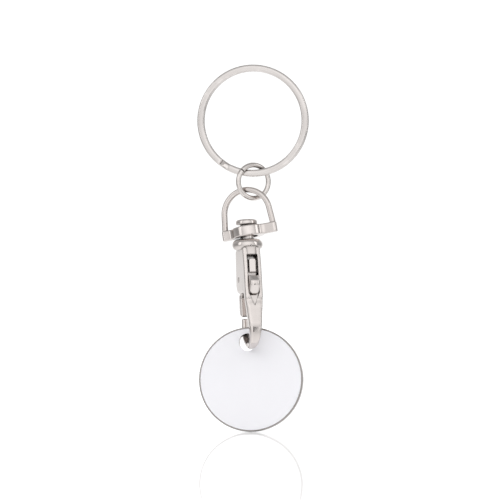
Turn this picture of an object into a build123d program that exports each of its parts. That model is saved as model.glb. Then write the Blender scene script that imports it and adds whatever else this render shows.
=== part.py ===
from build123d import *
from math import acos, atan2, cos, degrees, hypot, radians, sin
import os

# Coin holder keyring, in millimetres. X to the right, Y away from the viewer, Z up.
# The origin is the inner crown of the key ring, where a hook or peg carries it.
# The rest lengths and angles were read from a photograph scaled on the coin-sized token.

# Key ring: two touching turns of flattened spring wire
ring_inner_r = 10.95
ring_wire_radial = 1.55
ring_wire_axial = 0.74
ring_wire_round = 0.36
ring_turn_gap = 0.08
ring_yaw_deg = -8.0
joggle_start_deg = 115.6
joggle_end_deg = 127.2
joggle_end_gap_deg = 0.5
joggle_stations = 7

# Jump ring: round wire, cut once
jump_mean_r = 3.71
jump_wire_r = 0.565
jump_cut_width = 0.28
jump_cut_deg = 139.0
jump_yaw_deg = 26.0
jump_below_ring_wire = 1.85
jump_side_shift = 0.09

# Swivel eye: arched wire on a bored bar
eye_bar_width = 12.9
eye_bar_height = 2.25
eye_bar_depth = 1.6
eye_bar_round = 0.25
eye_bar_corner_round = 0.6
eye_boss_r = 3.5
eye_boss_blend = 1.3
eye_boss_shift = -0.32
eye_hole_r = 2.05
eye_arch_mean_r = 5.35
eye_arch_above_bar = 4.1
eye_leg_width = 1.28
eye_leg_depth = 1.28
eye_leg_round = 0.5
eye_below_jump_centre = 1.9
eye_side_shift = -2.12
eye_back_shift = 0.25
eye_yaw_deg = -20.0
eye_roll_deg = 8.5
eye_lean_deg = 8.0
eye_hole_play_used = 0.33

# Lean of the hook and the token, bottom towards the viewer
lean_deg = 5.0

# Swivel post: rivet head, neck and shank pressed into the collar
post_neck_r = 1.475
post_head_r = 2.38
post_head_height = 1.15
post_head_round = 0.5
post_head_edge_round = 0.25
post_head_above_collar = 4.45
post_end_below_collar = 0.6
press_gap = 0.01

# Hook body: collar bead, housing with two cheeks, spine and claw
hook_yaw_deg = 14.5
hook_roll_deg = 2.4
collar_r = 3.4
collar_height = 2.4
collar_round = 1.15
collar_below_eye_bar = 2.9
housing_half_width = 2.02
housing_top = -0.8
housing_edge_round = 0.5
spine_top_u = -3.35
spine_upper_u = -4.0
spine_upper_v = -4.4
spine_lower_u = -4.35
housing_bottom = -12.2
housing_far_top_u = 3.5
housing_far_u = 4.1
housing_far_top_round = 1.0
housing_far_round = 2.1
cheek_bottom = -10.8
cheek_throat_round = 1.0
claw_near_u = -3.75
claw_centre_v = -18.4
claw_mean_r = 4.1
claw_thickness = 2.0
claw_edge_round = 0.55
claw_overlap = 0.3
claw_taper_steps = 3
claw_thinned_by_deg = 90
claw_half_width_top = 2.02
claw_half_width_mid = 1.42
claw_half_width_bottom = 0.76
claw_half_width_nose = 0.92
nose_top = -16.2
nose_thickness = 1.45
nose_end_round = 0.25
cavity_half_width = 1.24
cavity_roof = -1.0
slot_top = -2.45
slot_bottom = -10.95
front_web_depth = 1.5
front_web_relief = 0.45
far_wall_thickness = 0.85
far_wall_bottom = -6.5
pocket_half_width = 1.08
pocket_top = -0.45
pocket_floor_u = -2.95
slot_run_out_depth = 0.5
slot_run_out_bottom = -13.9

# Trigger lever: hub, thumb spur, tail and gate, on a riveted pin
pivot_u = 1.5
pivot_v = -7.65
pin_r = 0.575
pin_proud = 0.05
pin_end_round = 0.12
pin_running_gap = 0.04
lever_half_width = 0.98
lever_hub_r = 1.42
spur_half_width = 1.15
spur_back_u = -2.9
spur_round = 0.75
spur_shoulder_u = -5.0
spur_reach_u = -5.9
spur_top = -7.2
spur_crest_top = -8.4
spur_crest_bottom = -9.4
spur_bottom = -10.75
spur_lip_u = -4.5
spur_lip_bottom = -11.35
arm_top = -6.35
arm_bottom = -9.1
arm_front_u = -2.9
tail_half_width = 0.72
tail_front_u = -3.7
tail_back_u = -2.3
tail_bottom = -6.4
tail_top = -3.35
tail_round = 0.45
gate_half_width = 1.12
gate_inner_u = 3.75
gate_outer_u = 5.55
gate_top = -10.75
gate_bottom = -16.0
gate_edge_round = 0.4
gate_end_bevel = 0.75
leg_inner_v = -9.05
leg_outer_u = 5.2

# Return spring: hairpin strip between the far wall and the lever's tail
spring_strip = 0.28
spring_half_width = 0.7
spring_wall_gap = 0.05
spring_arch_v = -3.6
spring_wall_leg = 2.3
spring_tail_leg = 1.7

# Token: coin-sized metal disc with a white face let into its front
token_r = 11.625
token_thickness = 2.1
token_edge_round = 0.18
token_hole_r = 1.95
token_hole_edge = 1.36
token_rim = 0.32
face_thickness = 0.3
face_side_gap = 0.03
face_below_rim = 0.02
token_tilt_deg = 4.9
token_yaw_deg = -7.5
token_hook_u = 2.0
token_hook_v = -21.62
token_side_shift = -0.27

cut_overrun = 2.0

# Places worked out from the sizes above
ring_mean_r = ring_inner_r + ring_wire_radial / 2
ring_layer_y = (ring_wire_axial + ring_turn_gap) / 2
ring_centre = Vector(0, 0, -ring_inner_r)
ring_wire_bottom = ring_centre - Vector(0, 0, ring_mean_r)
jump_centre = ring_wire_bottom + Vector(jump_side_shift, 0, -jump_below_ring_wire)
eye_apex = jump_centre + Vector(eye_side_shift - jump_side_shift, eye_back_shift, -eye_below_jump_centre)
eye_apex_above_bar = eye_arch_above_bar + eye_arch_mean_r
token_hole_offset = token_r - token_hole_edge - token_hole_r
claw_centre_u = claw_near_u + claw_mean_r


def turned(yaw_deg, roll_deg, lean):
    """Yaw about the vertical, then roll in the viewer's plane, then lean, bottom towards the viewer."""
    return Rot(X=-lean) * Rot(Y=-roll_deg) * Rot(Z=yaw_deg)


def moved(location, x, y, z):
    return (location * Pos(x, y, z)).position


eye_turn = turned(eye_yaw_deg, eye_roll_deg, eye_lean_deg)
eye_bar_centre = eye_apex - moved(eye_turn, 0, 0, eye_apex_above_bar)
hook_turn = turned(hook_yaw_deg, hook_roll_deg, lean_deg)
eye_bore_centre = eye_bar_centre + moved(eye_turn, eye_boss_shift, 0, 0)
hook_axis_point = eye_bore_centre - Vector(eye_hole_play_used, 0, 0)
hook_centre = hook_axis_point - moved(hook_turn, 0, 0, collar_below_eye_bar)
hook_place = Pos(*hook_centre) * hook_turn
token_turn = turned(token_yaw_deg, token_tilt_deg, lean_deg)
token_hole = moved(hook_place, 0, token_hook_u, token_hook_v) + Vector(token_side_shift, 0, 0)
token_centre = token_hole - moved(token_turn, 0, 0, token_hole_offset)

KEY_RING_PLACE = Pos(*ring_centre) * Rot(Z=ring_yaw_deg)
JUMP_RING_PLACE = Pos(*jump_centre) * Rot(Z=jump_yaw_deg)
EYE_PLACE = Pos(*eye_bar_centre) * eye_turn
TOKEN_PLACE = Pos(*token_centre) * token_turn


def side_profile(points, half_width):
    """A plate in the hook's own side view: points are (u, v), thickness runs along X."""
    outline = make_face(Polyline(*points, close=True))
    return extrude(Plane.YZ * outline, half_width, both=True)


def key_ring():
    def section(turn_deg, y):
        wire = RectangleRounded(ring_wire_radial, ring_wire_axial, ring_wire_round)
        return Rot(Y=turn_deg) * (Pos(ring_mean_r, y, 0) * wire)

    turn_deg = 360 - (joggle_end_deg - joggle_start_deg) - joggle_end_gap_deg
    front = revolve(section(0, -ring_layer_y), Axis.Y, turn_deg)
    back = revolve(section(0, ring_layer_y), Axis.Y, turn_deg)
    front = Rot(Y=joggle_end_deg + joggle_end_gap_deg) * front
    back = Rot(Y=joggle_end_deg) * back
    steps = []
    for i in range(joggle_stations):
        share = i / (joggle_stations - 1)
        rise = share * share * (3 - 2 * share)
        angle = joggle_start_deg + share * (joggle_end_deg - joggle_start_deg)
        steps.append(section(angle, ring_layer_y * (2 * rise - 1)))
    return front + loft(steps) + back


def jump_ring():
    cut_deg = degrees(jump_cut_width / jump_mean_r)
    wire = Pos(jump_mean_r, 0, 0) * Circle(jump_wire_r)
    ring = revolve(wire, Axis.Y, 360 - cut_deg)
    return Rot(Y=cut_deg / 2 - jump_cut_deg) * ring


def swivel_eye():
    foot = (eye_bar_width - eye_leg_width) / 2
    reach = hypot(foot, eye_arch_above_bar)
    tangent_angle = atan2(eye_arch_above_bar, foot) - acos(eye_arch_mean_r / reach)
    side = eye_arch_mean_r * cos(tangent_angle)
    shoulder = eye_arch_above_bar - eye_arch_mean_r * sin(tangent_angle)
    path = Wire([
        Edge.make_line((-foot, 0, 0), (-side, 0, shoulder)),
        Edge.make_three_point_arc((-side, 0, shoulder), (0, 0, eye_apex_above_bar), (side, 0, shoulder)),
        Edge.make_line((side, 0, shoulder), (foot, 0, 0)),
    ])
    start = Plane(origin=(-foot, 0, 0), x_dir=(0, 1, 0), z_dir=path % 0)
    arch = sweep(start * RectangleRounded(eye_leg_depth, eye_leg_width, eye_leg_round), path)

    plan = Rectangle(eye_bar_width, eye_bar_depth) + Pos(eye_boss_shift, 0) * Circle(eye_boss_r)
    waists = [v for v in plan.vertices() if abs(v.X - eye_boss_shift) < eye_boss_r]
    plan = fillet(waists, eye_boss_blend)
    corners = [v for v in plan.vertices() if abs(v.X) > eye_bar_width / 2 - eye_bar_round]
    plan = fillet(corners, eye_bar_corner_round)
    bar = extrude(plan, eye_bar_height / 2, both=True)
    rims = bar.faces().filter_by(Axis.Z).edges()
    bar = fillet(rims, eye_bar_round)
    trim = Pos(0, 0, -eye_bar_height) * Box(eye_bar_width + cut_overrun, eye_boss_r * 2, eye_bar_height)
    bore = Pos(eye_boss_shift, 0, 0) * Cylinder(eye_hole_r, eye_bar_height + cut_overrun)
    return arch - trim + bar - bore


def swivel_post():
    head = Pos(0, 0, post_head_above_collar + post_head_height / 2) * Cylinder(post_head_r, post_head_height)
    head = fillet(head.edges().group_by(Axis.Z)[-1], post_head_round)
    head = fillet(head.edges().group_by(Axis.Z)[0], post_head_edge_round)
    length = post_head_above_collar + post_end_below_collar
    neck = Pos(0, 0, length / 2 - post_end_below_collar) * Cylinder(post_neck_r, length)
    return head + neck


def claw():
    """Spine, bend and nose as one tapering bar, lofted through rounded sections."""
    straight_top_u = spine_lower_u + claw_thickness / 2
    far_u = claw_centre_u + claw_mean_r
    straight_top_v = housing_bottom + claw_overlap
    stations = []

    def station(u, v, tangent, half_width, thickness):
        plane = Plane(origin=(0, u, v), x_dir=(1, 0, 0), z_dir=(0, tangent[0], tangent[1]))
        section = RectangleRounded(2 * half_width, thickness, claw_edge_round)
        stations.append(plane * section)

    spine_shares = [0, 0.25, 0.5, 0.75]
    for share in spine_shares:
        u = straight_top_u + share * (claw_near_u - straight_top_u)
        v = straight_top_v + share * (claw_centre_v - straight_top_v)
        half_width = claw_half_width_top + share * (claw_half_width_mid - claw_half_width_top)
        station(u, v, (claw_near_u - straight_top_u, claw_centre_v - straight_top_v), half_width, claw_thickness)
    bend_half_widths = {
        0: claw_half_width_mid,
        30: claw_half_width_mid - claw_end_taper(),
        60: claw_half_width_bottom + claw_end_taper(),
        90: claw_half_width_bottom,
        120: claw_half_width_bottom,
        150: claw_half_width_nose,
        180: claw_half_width_nose,
    }
    for angle, half_width in bend_half_widths.items():
        a = radians(angle)
        thinned = min(angle / claw_thinned_by_deg, 1)
        thickness = claw_thickness + (nose_thickness - claw_thickness) * thinned
        u = claw_centre_u - claw_mean_r * cos(a)
        v = claw_centre_v - claw_mean_r * sin(a)
        station(u, v, (sin(a), -cos(a)), half_width, thickness)
    station(far_u, nose_top, (0, 1), claw_half_width_nose, nose_thickness)
    bar = loft(stations)
    return fillet(bar.faces().sort_by(Axis.Z)[-2:].sort_by(Axis.Y)[-1].edges(), nose_end_round)


def claw_end_taper():
    return (claw_half_width_mid - claw_half_width_bottom) / claw_taper_steps


def hook_body():
    collar = Cylinder(collar_r, collar_height)
    collar = fillet(collar.edges().filter_by(GeomType.CIRCLE), collar_round)
    spine_inner_u = spine_lower_u + claw_thickness
    outline = Polyline(
        (spine_top_u, housing_top),
        (spine_upper_u, spine_upper_v),
        (spine_lower_u, housing_bottom),
        (spine_inner_u, housing_bottom),
        (spine_inner_u, cheek_bottom),
        (housing_far_u, cheek_bottom),
        (housing_far_top_u, housing_top),
        close=True,
    )
    plate = make_face(outline)
    corners = plate.vertices()
    plate = fillet(corners.sort_by_distance((housing_far_u, cheek_bottom))[0], housing_far_round)
    plate = fillet(plate.vertices().sort_by_distance((housing_far_top_u, housing_top))[0], housing_far_top_round)
    plate = fillet(plate.vertices().sort_by_distance((spine_inner_u, cheek_bottom))[0], cheek_throat_round)
    plate = fillet(plate.vertices().sort_by_distance((spine_upper_u, spine_upper_v))[0], claw_mean_r)
    housing = extrude(Plane.YZ * plate, housing_half_width, both=True)
    housing = fillet(housing.faces().filter_by(Axis.X).edges(), housing_edge_round)
    body = collar + housing + claw()

    front_u = spine_lower_u - cut_overrun
    web_u = spine_upper_u + front_web_depth
    wall_u = housing_far_top_u - far_wall_thickness
    out_u = housing_far_u + cut_overrun
    below = housing_bottom - cut_overrun
    cavity = side_profile([
        (front_u, slot_top), (pocket_floor_u, slot_top), (web_u, slot_top + front_web_relief),
        (web_u, cavity_roof), (wall_u, cavity_roof),
        (wall_u, far_wall_bottom), (out_u, far_wall_bottom), (out_u, below),
        (spine_inner_u, below), (spine_inner_u, slot_bottom), (front_u, slot_bottom),
    ], cavity_half_width)
    pocket = side_profile([
        (front_u, pocket_top), (pocket_floor_u, pocket_top), (pocket_floor_u, slot_top), (front_u, slot_top),
    ], pocket_half_width)
    fading = side_profile([
        (front_u, slot_bottom), (spine_lower_u + slot_run_out_depth, slot_bottom),
        (spine_lower_u, slot_run_out_bottom), (front_u, slot_run_out_bottom),
    ], cavity_half_width)
    narrowing = extrude(Plane.XZ * make_face(Polyline(
        (-cavity_half_width, slot_bottom), (cavity_half_width, slot_bottom), (0, slot_run_out_bottom), close=True,
    )), -front_u, both=True)
    run_out = fading & narrowing
    bore_top = collar_height / 2 + cut_overrun
    bore_length = bore_top + post_end_below_collar
    bore = Pos(0, 0, bore_top - bore_length / 2) * Cylinder(post_neck_r + press_gap, bore_length)
    pin_hole_length = 2 * (housing_half_width + cut_overrun)
    pin_hole = Pos(0, pivot_u, pivot_v) * Rot(Y=90) * Cylinder(pin_r + press_gap, pin_hole_length)
    return body - cavity - pocket - run_out - bore - pin_hole


def trigger_lever():
    hub = Pos(0, pivot_u, pivot_v) * Rot(Y=90) * Cylinder(lever_hub_r, 2 * lever_half_width)
    arm = side_profile([
        (pivot_u, arm_top), (arm_front_u, arm_top), (arm_front_u, arm_bottom), (pivot_u, arm_bottom),
    ], lever_half_width)
    spur = side_profile([
        (spur_back_u, spur_top), (spur_shoulder_u, spur_top), (spur_reach_u, spur_crest_top),
        (spur_reach_u, spur_crest_bottom), (spur_lip_u, spur_lip_bottom), (spur_lip_u, spur_bottom),
        (spur_back_u, spur_bottom),
    ], spur_half_width)
    outer = [e for e in spur.edges() if e.center().Y < spur_lip_u]
    spur = fillet(outer, spur_round)
    tail = side_profile([
        (tail_front_u, tail_top), (tail_back_u, tail_top), (tail_back_u, arm_top - lever_hub_r / 2),
        (arm_front_u, arm_top - lever_hub_r / 2), (arm_front_u, tail_bottom), (tail_front_u, tail_bottom),
    ], tail_half_width)
    tail = fillet(tail.edges().filter_by(Axis.Y).group_by(Axis.Z)[-1], tail_round)
    leg = side_profile([
        (pivot_u, pivot_v), (pivot_u + lever_hub_r, pivot_v), (leg_outer_u, gate_top - gate_edge_round),
        (leg_outer_u, gate_top - lever_hub_r), (gate_inner_u + gate_edge_round, gate_top - lever_hub_r),
        (pivot_u, leg_inner_v),
    ], lever_half_width)
    gate = side_profile([
        (gate_inner_u, gate_top), (gate_outer_u, gate_top), (gate_outer_u, gate_bottom + gate_end_bevel),
        (gate_inner_u, gate_bottom),
    ], gate_half_width)
    gate = fillet(gate.edges(), gate_edge_round)
    lever = hub + arm + spur + tail + leg + gate
    bore = Pos(0, pivot_u, pivot_v) * Rot(Y=90) * Cylinder(pin_r + pin_running_gap, 2 * housing_half_width)
    return lever - bore


def pivot_pin():
    length = 2 * (housing_half_width + pin_proud)
    pin = Cylinder(pin_r, length)
    pin = fillet(pin.edges().filter_by(GeomType.CIRCLE), pin_end_round)
    return Pos(0, pivot_u, pivot_v) * Rot(Y=90) * pin


def return_spring():
    wall_u = housing_far_top_u - far_wall_thickness - spring_wall_gap
    tail_u = tail_back_u + spring_wall_gap
    outer_r = (wall_u - tail_u) / 2
    inner_r = outer_r - spring_strip
    middle_u = (wall_u + tail_u) / 2
    arch = Pos(middle_u, spring_arch_v) * (Circle(outer_r) - Circle(inner_r))
    below = Pos(middle_u, spring_arch_v - outer_r / 2) * Rectangle(2 * outer_r, outer_r)
    wall_leg = Pos(wall_u - spring_strip / 2, spring_arch_v - spring_wall_leg / 2) \
        * Rectangle(spring_strip, spring_wall_leg)
    tail_leg = Pos(tail_u + spring_strip / 2, spring_arch_v - spring_tail_leg / 2) \
        * Rectangle(spring_strip, spring_tail_leg)
    strip = arch - below + wall_leg + tail_leg
    return extrude(Plane.YZ * strip, spring_half_width, both=True)


def token_disc():
    disc = Cylinder(token_r, token_thickness)
    disc = fillet(disc.edges().filter_by(GeomType.CIRCLE), token_edge_round)
    hole = Pos(0, token_hole_offset, 0) * Cylinder(token_hole_r, token_thickness + cut_overrun)
    recess_r = token_r - token_rim
    recess_depth = face_thickness + face_below_rim
    recess = Pos(0, 0, token_thickness / 2) * Cylinder(
        recess_r, recess_depth, align=(Align.CENTER, Align.CENTER, Align.MAX))
    return Rot(X=90) * (disc - hole - recess)


def token_face():
    seat = token_thickness / 2 - face_thickness - face_below_rim
    face = Pos(0, 0, seat) * Cylinder(
        token_r - token_rim - face_side_gap, face_thickness,
        align=(Align.CENTER, Align.CENTER, Align.MIN))
    hole = Pos(0, token_hole_offset, 0) * Cylinder(token_hole_r, token_thickness + cut_overrun)
    return Rot(X=90) * (face - hole)


PARTS = {
    "key_ring": (key_ring, KEY_RING_PLACE),
    "jump_ring": (jump_ring, JUMP_RING_PLACE),
    "swivel_eye": (swivel_eye, EYE_PLACE),
    "swivel_post": (swivel_post, hook_place),
    "hook_body": (hook_body, hook_place),
    "trigger_lever": (trigger_lever, hook_place),
    "pivot_pin": (pivot_pin, hook_place),
    "return_spring": (return_spring, hook_place),
    "token_disc": (token_disc, TOKEN_PLACE),
    "token_face": (token_face, TOKEN_PLACE),
}


os.makedirs("parts", exist_ok=True)
for name, (make, place) in PARTS.items():
    export_step(place * make(), f"parts/{name}.step")
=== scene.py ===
from math import radians

import bpy
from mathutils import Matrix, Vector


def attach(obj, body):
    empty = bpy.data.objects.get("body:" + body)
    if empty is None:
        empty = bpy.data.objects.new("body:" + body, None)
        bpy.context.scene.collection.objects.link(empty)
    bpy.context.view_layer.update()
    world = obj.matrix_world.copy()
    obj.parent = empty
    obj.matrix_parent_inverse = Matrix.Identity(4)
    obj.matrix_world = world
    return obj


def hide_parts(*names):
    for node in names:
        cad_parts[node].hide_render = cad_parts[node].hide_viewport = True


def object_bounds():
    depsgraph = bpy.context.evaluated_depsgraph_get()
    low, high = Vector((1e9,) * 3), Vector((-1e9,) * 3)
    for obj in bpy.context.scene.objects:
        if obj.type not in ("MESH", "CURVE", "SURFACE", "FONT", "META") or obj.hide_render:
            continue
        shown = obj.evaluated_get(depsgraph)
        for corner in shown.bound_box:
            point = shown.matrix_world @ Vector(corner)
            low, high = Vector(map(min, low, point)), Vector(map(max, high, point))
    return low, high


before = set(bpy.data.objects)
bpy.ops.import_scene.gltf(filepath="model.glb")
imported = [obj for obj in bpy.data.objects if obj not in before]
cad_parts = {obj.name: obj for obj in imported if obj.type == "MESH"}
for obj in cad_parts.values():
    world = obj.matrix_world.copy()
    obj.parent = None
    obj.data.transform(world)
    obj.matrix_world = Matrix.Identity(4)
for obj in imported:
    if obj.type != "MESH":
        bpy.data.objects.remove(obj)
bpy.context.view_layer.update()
bpy.ops.object.select_all(action="DESELECT")

# Everything is in metres in the CAD frame: X right, Y away from the viewer, Z up.
MM = 0.001
QUARTER_TURN = radians(90)
WHITE = (1, 1, 1, 1)

# Camera: level, square to the object, as far off as a product photograph is taken.
# The photo's scale holds in the object's own plane.
PHOTO_SIDE_PX = 500
PX_PER_MM = 4.49
ORIGIN_PX_X = 253.0
ORIGIN_PX_Y = 71.4
CAMERA_DISTANCE = 0.9
OBJECT_PLANE_Y = -0.8 * MM
SENSOR_MM = 36.0
NEAREST_SEEN = 0.01

# Polished white floor and lit backdrop
FLOOR_GAP = 0.02 * MM
FLOOR_SIDE = 6.0
FLOOR_GLOSS = 0.64
FLOOR_ROUGHNESS = 0.02
BACKDROP_LIGHT = 1.1
BACKDROP_WIDTH = 1.4
BACKDROP_HEIGHT = 1.1
BACKDROP_BEHIND = 2.5

# A dark stand below the floor's level, out of sight, mirrored as a small mark at the claw's bend
STAND_PLACE = (0.365, -0.73, -0.27)
STAND_TURN = radians(26)
STAND_WIDTH = 0.09
STAND_HEIGHT = 0.36
STAND_BLACK = (0.01, 0.01, 0.01, 1)
STAND_ROUGHNESS = 0.9

# Light tent: pairs of a place along the direction and the light's share there
OVERHEAD_LIGHT = 2.2
MIRRORED_LIGHT = 1.36
# By height, 0 straight below and 1 straight above
OVERHEAD_STEPS = ((0.0, 0.0), (0.5, 0.06), (0.7, 0.1), (0.78, 1.0), (1.0, 1.0))
MIRRORED_HEIGHT_STEPS = (
    (0.0, 0.7), (0.3, 0.85), (0.46, 0.9), (0.5, 0.75), (0.62, 1.0), (0.8, 1.0), (1.0, 0.75))
MIRRORED_FLOOR_STEPS = ((0.0, 0.8), (0.2, 0.7), (0.36, 0.45), (0.44, 0.0), (1.0, 0.0))
# By depth, 0 straight behind and 1 straight at the camera
MIRRORED_DEPTH_STEPS = (
    (0.0, 0.85), (0.08, 0.8), (0.15, 0.42), (0.5, 0.32), (0.72, 0.4),
    (0.82, 0.62), (0.9, 0.8), (0.96, 0.9), (1.0, 1.0))
# Where a ramp's new stops start, before they are moved to their own places
NEW_STOP_PLACE = 0.5

# Two nearly upright light cards, left and right in front of the object
CARD_POWER = 1.5
CARD_TILT = radians(80)
LIGHT_CARDS = {
    "key_left": dict(width=0.5, height=1.2, place=(-1.2, -0.6, 0.3), turn=radians(-63)),
    "key_right": dict(width=0.4, height=1.2, place=(1.2, -0.5, 0.3), turn=radians(67)),
}

# Painted shade in hollows: how closed in a surface is, as the openness where the painted shade is deepest, and
# where it no longer darkens the colour
CLOSED_IN = 0.35
OPEN = 0.85
PAINTED_SHADE_SAMPLES = 8
PAINTED_SHADE_REACH = 0.8 * MM
CROWN_SAMPLES = 8

# How sharp an edge is where wear begins, and where it is full
WEAR_BEGINS = 0.47
WEAR_FULL = 0.56

# Unevenness of a surface: fine grain, with broader and higher waves under it
GRAIN_DETAIL = 3
WAVE_DETAIL = 1
WAVE_LENGTH_IN_GRAINS = 5
WAVE_HEIGHT_IN_GRAINS = 4

# Finishes: grain is the number of grains in a metre, and the last value the share of colour left by the
# painted shade in the most closed-in hollows
FINISHES = {
    "ring_wire": dict(
        name="nickel_ring", plate=(0.64, 0.605, 0.585), worn=(0.78, 0.74, 0.72), roughness=0.08,
        edge_roughness=0.05, grain=900, grain_height=0.002 * MM, crown=0.85 * MM, painted_shade_darkest=0.3),
    "plated_wire": dict(
        name="nickel_wire", plate=(0.68, 0.635, 0.61), worn=(0.78, 0.74, 0.715), roughness=0.12,
        edge_roughness=0.05, grain=900, grain_height=0.002 * MM, crown=0.1 * MM, painted_shade_darkest=0.3),
    "plated_casting": dict(
        name="nickel_casting", plate=(0.65, 0.60, 0.575), worn=(0.77, 0.72, 0.695), roughness=0.09,
        edge_roughness=0.05, grain=700, grain_height=0.006 * MM, crown=0.35 * MM, painted_shade_darkest=0.3),
    "steel_pin": dict(
        name="pin_steel", plate=(0.45, 0.40, 0.38), worn=(0.6, 0.56, 0.54), roughness=0.25,
        edge_roughness=0.05, grain=1500, grain_height=0.002 * MM, crown=0.05 * MM, painted_shade_darkest=0.2),
    "spring_steel": dict(
        name="spring_steel", plate=(0.35, 0.34, 0.34), worn=(0.5, 0.49, 0.48), roughness=0.3,
        edge_roughness=0.05, grain=1500, grain_height=0.002 * MM, crown=0.05 * MM, painted_shade_darkest=0.2),
    # Much darker than the platings: a painted dark reflection along the token's rim
    "token_metal": dict(
        name="token_metal", plate=(0.37, 0.345, 0.335), roughness=0.18,
        grain=900, grain_height=0.002 * MM, crown=0.1 * MM, painted_shade_darkest=0.15),
}
ENAMEL_WHITE = (0.815, 0.81, 0.84, 1)
ENAMEL_ROUGHNESS = 0.45
ENAMEL_GRAIN = 1500
ENAMEL_GRAIN_HEIGHT = 0.002 * MM

# Each piece by its CAD node: the body it rides on, its slot and its finish
PIECES = {
    "key_ring": ("ring", "plated_wire", "ring_wire"),
    "jump_ring": ("link", "plated_wire", "plated_wire"),
    "swivel_eye": ("eye", "plated_casting", "plated_casting"),
    "swivel_post": ("hook", "plated_casting", "plated_casting"),
    "hook_body": ("hook", "plated_casting", "plated_casting"),
    "trigger_lever": ("trigger", "plated_casting", "plated_casting"),
    "pivot_pin": ("hook", "steel_pin", "steel_pin"),
    "return_spring": ("hook", "spring_steel", "spring_steel"),
    "token_disc": ("token", "token_metal", "token_metal"),
    "token_face": ("token", "white_face", "white_face"),
}
CREASE_ANGLE = radians(35)
SAME_POINT = 0.002 * MM


def new_group(name, inputs, outputs):
    group = bpy.data.node_groups.new(name, "ShaderNodeTree")
    for sockets, way in ((inputs, "INPUT"), (outputs, "OUTPUT")):
        for socket, kind in sockets.items():
            group.interface.new_socket(name=socket, in_out=way, socket_type=kind)
    return group


def wear_group():
    """Brighter, slightly rougher plating on sharp edges, from the shape's own pointiness."""
    group = new_group(
        "edge_wear",
        {"Plate": "NodeSocketColor", "Worn": "NodeSocketColor",
         "Roughness": "NodeSocketFloat", "Edge Roughness": "NodeSocketFloat"},
        {"Color": "NodeSocketColor", "Roughness": "NodeSocketFloat"})
    nodes, links = group.nodes, group.links
    into = nodes.new("NodeGroupInput")
    out = nodes.new("NodeGroupOutput")
    geometry = nodes.new("ShaderNodeNewGeometry")
    wear = nodes.new("ShaderNodeMapRange")
    wear.inputs["From Min"].default_value = WEAR_BEGINS
    wear.inputs["From Max"].default_value = WEAR_FULL
    links.new(geometry.outputs["Pointiness"], wear.inputs["Value"])
    colour = nodes.new("ShaderNodeMix")
    colour.data_type = "RGBA"
    links.new(wear.outputs["Result"], colour.inputs["Factor"])
    links.new(into.outputs["Plate"], colour.inputs["A"])
    links.new(into.outputs["Worn"], colour.inputs["B"])
    links.new(colour.outputs["Result"], out.inputs["Color"])
    roughness = nodes.new("ShaderNodeMath")
    roughness.operation = "MULTIPLY_ADD"
    links.new(wear.outputs["Result"], roughness.inputs[0])
    links.new(into.outputs["Edge Roughness"], roughness.inputs[1])
    links.new(into.outputs["Roughness"], roughness.inputs[2])
    links.new(roughness.outputs["Value"], out.inputs["Roughness"])
    return group


def grain_group():
    """Fine unevenness of a surface: a height for a Bump node."""
    group = new_group(
        "surface_grain",
        {"Grain": "NodeSocketFloat", "Waves": "NodeSocketFloat"},
        {"Height": "NodeSocketFloat"})
    nodes, links = group.nodes, group.links
    into = nodes.new("NodeGroupInput")
    out = nodes.new("NodeGroupOutput")
    place = nodes.new("ShaderNodeTexCoord")
    height = nodes.new("ShaderNodeMath")
    height.operation = "MULTIPLY_ADD"
    height.inputs[1].default_value = WAVE_HEIGHT_IN_GRAINS
    for socket, detail, term in (("Waves", WAVE_DETAIL, 0), ("Grain", GRAIN_DETAIL, 2)):
        noise = nodes.new("ShaderNodeTexNoise")
        noise.inputs["Detail"].default_value = detail
        links.new(place.outputs["Object"], noise.inputs["Vector"])
        links.new(into.outputs[socket], noise.inputs["Scale"])
        links.new(noise.outputs["Fac"], height.inputs[term])
    links.new(height.outputs["Value"], out.inputs["Height"])
    return group


def painted_hollow_shade_group():
    """Paints shade into a colour where the surface is closed in, as in slots and seams."""
    group = new_group(
        "painted_shade_in_hollows",
        {"Color": "NodeSocketColor", "Reach": "NodeSocketFloat", "Painted Shade Darkest": "NodeSocketFloat"},
        {"Color": "NodeSocketColor"})
    nodes, links = group.nodes, group.links
    into = nodes.new("NodeGroupInput")
    out = nodes.new("NodeGroupOutput")
    openness = nodes.new("ShaderNodeAmbientOcclusion")
    openness.samples = PAINTED_SHADE_SAMPLES
    links.new(into.outputs["Reach"], openness.inputs["Distance"])
    share = nodes.new("ShaderNodeMapRange")
    share.inputs["From Min"].default_value = CLOSED_IN
    share.inputs["From Max"].default_value = OPEN
    links.new(openness.outputs["AO"], share.inputs["Value"])
    links.new(into.outputs["Painted Shade Darkest"], share.inputs["To Min"])
    darkened = nodes.new("ShaderNodeVectorMath")
    darkened.operation = "SCALE"
    links.new(into.outputs["Color"], darkened.inputs[0])
    links.new(share.outputs["Result"], darkened.inputs["Scale"])
    links.new(darkened.outputs["Vector"], out.inputs["Color"])
    return group


WEAR = wear_group()
GRAIN = grain_group()
PAINTED_HOLLOW_SHADE = painted_hollow_shade_group()


def new_material(name):
    material = bpy.data.materials.new(name)
    material.use_nodes = True
    return material, material.node_tree.nodes, material.node_tree.links


def place_group(nodes, group, values):
    placed = nodes.new("ShaderNodeGroup")
    placed.node_tree = group
    for socket, value in values.items():
        placed.inputs[socket].default_value = value
    return placed


def grain_bump(nodes, links, grain, height):
    texture = place_group(nodes, GRAIN, {"Grain": grain, "Waves": grain / WAVE_LENGTH_IN_GRAINS})
    bump = nodes.new("ShaderNodeBump")
    bump.inputs["Distance"].default_value = height
    links.new(texture.outputs["Height"], bump.inputs["Height"])
    links.new(bump.outputs["Normal"], nodes["Principled BSDF"].inputs["Normal"])
    return bump


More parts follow.
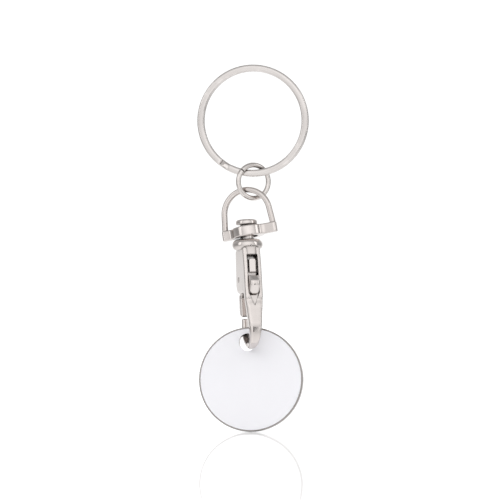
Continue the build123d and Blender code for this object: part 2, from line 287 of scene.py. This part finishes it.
def plated_metal(
        name, plate, roughness, grain, grain_height, crown, painted_shade_darkest, worn=None, edge_roughness=None):
    """Bright plating with rounded edges and painted shade in its hollows; a finish without a worn colour has
    the same tone all over, apart from that painted shade.
    """
    material, nodes, links = new_material(name)
    shader = nodes["Principled BSDF"]
    shader.inputs["Metallic"].default_value = 1.0
    # Painted shade: the base colour is darkened where the surface is closed in
    painted_shade = place_group(nodes, PAINTED_HOLLOW_SHADE, {"Reach": PAINTED_SHADE_REACH, "Painted Shade Darkest": painted_shade_darkest})
    if worn:
        wear = place_group(nodes, WEAR, {
            "Plate": (*plate, 1), "Worn": (*worn, 1),
            "Roughness": roughness, "Edge Roughness": edge_roughness})
        links.new(wear.outputs["Color"], painted_shade.inputs["Color"])
        links.new(wear.outputs["Roughness"], shader.inputs["Roughness"])
    else:
        painted_shade.inputs["Color"].default_value = (*plate, 1)
        shader.inputs["Roughness"].default_value = roughness
    links.new(painted_shade.outputs["Color"], shader.inputs["Base Color"])
    rounded = nodes.new("ShaderNodeBevel")
    rounded.samples = CROWN_SAMPLES
    rounded.inputs["Radius"].default_value = crown
    links.new(rounded.outputs["Normal"], grain_bump(nodes, links, grain, grain_height).inputs["Normal"])
    return material


def white_enamel():
    material, nodes, links = new_material("token_white")
    shader = nodes["Principled BSDF"]
    shader.inputs["Base Color"].default_value = ENAMEL_WHITE
    shader.inputs["Roughness"].default_value = ENAMEL_ROUGHNESS
    grain_bump(nodes, links, ENAMEL_GRAIN, ENAMEL_GRAIN_HEIGHT)
    return material


MATERIALS = {look: plated_metal(**finish) for look, finish in FINISHES.items()}
MATERIALS["white_face"] = white_enamel()


def smooth_piece(node, body, look):
    """A joined-up copy of a CAD node, so that its shading runs smoothly over the curved faces."""
    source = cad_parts[node]
    piece = bpy.data.objects.new(node + "_piece", source.data.copy())
    bpy.context.scene.collection.objects.link(piece)
    bpy.ops.object.select_all(action="DESELECT")
    bpy.context.view_layer.objects.active = piece
    piece.select_set(True)
    bpy.ops.object.mode_set(mode="EDIT")
    bpy.ops.mesh.select_all(action="SELECT")
    bpy.ops.mesh.remove_doubles(threshold=SAME_POINT)
    bpy.ops.object.mode_set(mode="OBJECT")
    bpy.ops.mesh.customdata_custom_splitnormals_clear()
    bpy.ops.object.shade_smooth_by_angle(angle=CREASE_ANGLE)
    flat = piece.modifiers.new("flat_faces_stay_flat", "WEIGHTED_NORMAL")
    flat.keep_sharp = True
    bpy.ops.object.modifier_apply(modifier=flat.name)
    piece.data.materials.clear()
    piece.data.materials.append(MATERIALS[look])
    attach(piece, body)
    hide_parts(node)


for node, (body, slot, look) in PIECES.items():
    smooth_piece(node, body, look)


def staged_plane(name, place, turn, width, height, material):
    bpy.ops.mesh.primitive_plane_add(size=1, location=place, rotation=turn)
    plane = bpy.context.object
    plane.name = name
    plane.scale = (width, height, 1)
    plane.data.materials.append(material)
    return plane


def floor(floor_z):
    material, nodes, links = new_material("floor_white")
    nodes.clear()
    matt = nodes.new("ShaderNodeBsdfDiffuse")
    matt.inputs["Color"].default_value = WHITE
    gloss = nodes.new("ShaderNodeBsdfGlossy")
    gloss.inputs["Color"].default_value = WHITE
    gloss.inputs["Roughness"].default_value = FLOOR_ROUGHNESS
    both = nodes.new("ShaderNodeMixShader")
    both.inputs["Fac"].default_value = FLOOR_GLOSS
    surface = nodes.new("ShaderNodeOutputMaterial")
    links.new(matt.outputs["BSDF"], both.inputs[1])
    links.new(gloss.outputs["BSDF"], both.inputs[2])
    links.new(both.outputs["Shader"], surface.inputs["Surface"])
    plane = staged_plane("floor", (0, 0, floor_z), (0, 0, 0), FLOOR_SIDE, FLOOR_SIDE, material)
    # The metal mirrors the light tent's own floor instead
    plane.visible_glossy = False


def backdrop(floor_z):
    material, nodes, links = new_material("backdrop_white")
    nodes.clear()
    glow = nodes.new("ShaderNodeEmission")
    glow.inputs["Strength"].default_value = BACKDROP_LIGHT
    surface = nodes.new("ShaderNodeOutputMaterial")
    links.new(glow.outputs["Emission"], surface.inputs["Surface"])
    place = (0, BACKDROP_BEHIND, floor_z + BACKDROP_HEIGHT / 2)
    staged_plane("backdrop", place, (QUARTER_TURN, 0, 0), BACKDROP_WIDTH, BACKDROP_HEIGHT, material)


def dark_stand():
    material, nodes, _ = new_material("stand_black")
    shader = nodes["Principled BSDF"]
    shader.inputs["Base Color"].default_value = STAND_BLACK
    shader.inputs["Roughness"].default_value = STAND_ROUGHNESS
    staged_plane("dark_stand", STAND_PLACE, (QUARTER_TURN, 0, STAND_TURN), STAND_WIDTH, STAND_HEIGHT, material)


def share_by_direction(nodes, links, component, steps):
    """The light's share along one component of the direction, which runs from -1 to 1."""
    along = nodes.new("ShaderNodeMapRange")
    along.inputs["From Min"].default_value = -1
    along.inputs["From Max"].default_value = 1
    links.new(component, along.inputs["Value"])
    ramp = nodes.new("ShaderNodeValToRGB")
    stops = ramp.color_ramp.elements
    while len(stops) < len(steps):
        stops.new(NEW_STOP_PLACE)
    places, shares = zip(*steps)
    for stop, place in zip(stops, places):
        stop.position = place
    for stop, share in zip(stops, shares):
        stop.color = (share, share, share, 1)
    links.new(along.outputs["Result"], ramp.inputs["Fac"])
    return ramp.outputs["Color"]


def joined(nodes, links, operation, first, second):
    join = nodes.new("ShaderNodeVectorMath")
    join.operation = operation
    links.new(first, join.inputs[0])
    links.new(second, join.inputs[1])
    return join.outputs["Vector"]


def scaled(nodes, links, colour, strength):
    scale = nodes.new("ShaderNodeVectorMath")
    scale.operation = "SCALE"
    scale.inputs["Scale"].default_value = strength
    links.new(colour, scale.inputs[0])
    return scale.outputs["Vector"]


def light_tent():
    """A bright ceiling for floor and enamel; for the metal, a pale front and floor with dark sides."""
    world = bpy.data.worlds.new("light_tent")
    bpy.context.scene.world = world
    world.use_nodes = True
    nodes, links = world.node_tree.nodes, world.node_tree.links
    direction = nodes.new("ShaderNodeTexCoord")
    split = nodes.new("ShaderNodeSeparateXYZ")
    links.new(direction.outputs["Generated"], split.inputs["Vector"])
    height = split.outputs["Z"]
    nearness = nodes.new("ShaderNodeMath")
    nearness.operation = "MULTIPLY"
    nearness.inputs[1].default_value = -1
    links.new(split.outputs["Y"], nearness.inputs[0])
    overhead = share_by_direction(nodes, links, height, OVERHEAD_STEPS)
    by_height = share_by_direction(nodes, links, height, MIRRORED_HEIGHT_STEPS)
    by_depth = share_by_direction(nodes, links, nearness.outputs["Value"], MIRRORED_DEPTH_STEPS)
    from_floor = share_by_direction(nodes, links, height, MIRRORED_FLOOR_STEPS)
    around = joined(nodes, links, "MULTIPLY", by_height, by_depth)
    mirrored = joined(nodes, links, "MAXIMUM", around, from_floor)
    path = nodes.new("ShaderNodeLightPath")
    choice = nodes.new("ShaderNodeMix")
    choice.data_type = "RGBA"
    links.new(path.outputs["Is Glossy Ray"], choice.inputs["Factor"])
    links.new(scaled(nodes, links, overhead, OVERHEAD_LIGHT), choice.inputs["A"])
    links.new(scaled(nodes, links, mirrored, MIRRORED_LIGHT), choice.inputs["B"])
    links.new(choice.outputs["Result"], nodes["Background"].inputs["Color"])


def light_card(name, width, height, place, turn):
    data = bpy.data.lights.new(name, "AREA")
    data.shape = "RECTANGLE"
    data.size = width
    data.size_y = height
    data.energy = CARD_POWER
    light = bpy.data.objects.new(name, data)
    bpy.context.scene.collection.objects.link(light)
    light.location = place
    light.rotation_euler = (CARD_TILT, 0, turn)


def camera():
    middle_x = (PHOTO_SIDE_PX / 2 - ORIGIN_PX_X) / PX_PER_MM * MM
    middle_z = (ORIGIN_PX_Y - PHOTO_SIDE_PX / 2) / PX_PER_MM * MM
    seen_width = PHOTO_SIDE_PX / PX_PER_MM * MM
    data = bpy.data.cameras.new("camera")
    data.sensor_width = SENSOR_MM
    data.lens = SENSOR_MM * CAMERA_DISTANCE / seen_width
    data.clip_start = NEAREST_SEEN
    eye = bpy.data.objects.new("camera", data)
    bpy.context.scene.collection.objects.link(eye)
    eye.location = (middle_x, OBJECT_PLANE_Y - CAMERA_DISTANCE, middle_z)
    eye.rotation_euler = (QUARTER_TURN, 0, 0)
    bpy.context.scene.camera = eye
    # Tones go straight from the light to the picture, so that white stays white
    bpy.context.scene.view_settings.view_transform = "Standard"


lowest_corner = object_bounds()[0]
floor_z = lowest_corner[2] - FLOOR_GAP
floor(floor_z)
backdrop(floor_z)
dark_stand()
light_tent()
for name, card in LIGHT_CARDS.items():
    light_card(name, **card)
camera()
